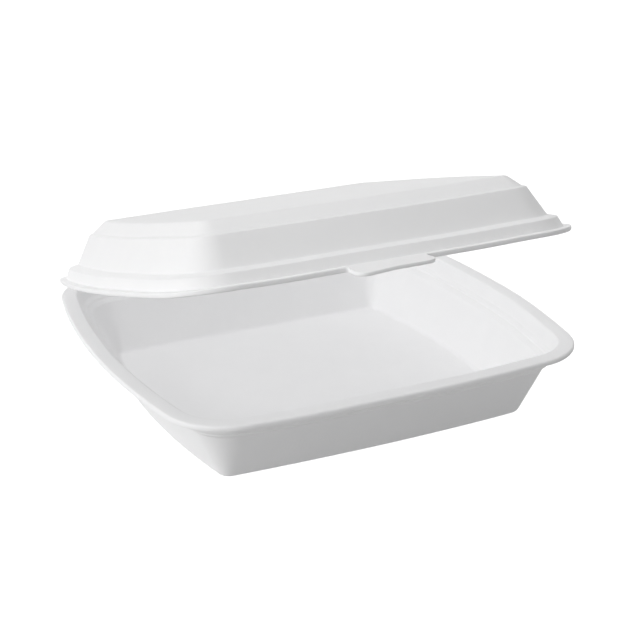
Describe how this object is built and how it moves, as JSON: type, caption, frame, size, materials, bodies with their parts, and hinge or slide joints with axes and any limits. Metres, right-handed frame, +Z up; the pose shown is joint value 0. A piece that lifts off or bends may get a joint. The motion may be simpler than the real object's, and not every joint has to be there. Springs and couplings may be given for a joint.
{
  "type": "foam clamshell container",
  "caption": "Square foam takeaway container: a shallow tray with bowed sides and a domed lid that swings on a crease at the back and locks with a front tab.",
  "frame": {"origin": "on the tray's underside, under the middle of its rim", "axes": "+X along the front edge to the right, +Y from the front to the crease at the back, +Z up"},
  "size_m": [0.24, 0.2316, 0.1254],
  "materials": {
    "white_foam": "expanded polystyrene foam with a smooth satin skin"
  },
  "bodies": {
    "tray": {"tray": "white_foam"},
    "lid": {"lid": "white_foam"}
  },
  "joints": [
    {"name": "lid_hinge", "type": "hinge", "parent": "tray", "child": "lid", "pos_m": [0, 0.114, 0.04065], "axis": [-1, 0, 0], "range_deg": [-16, 164]}
  ]
}
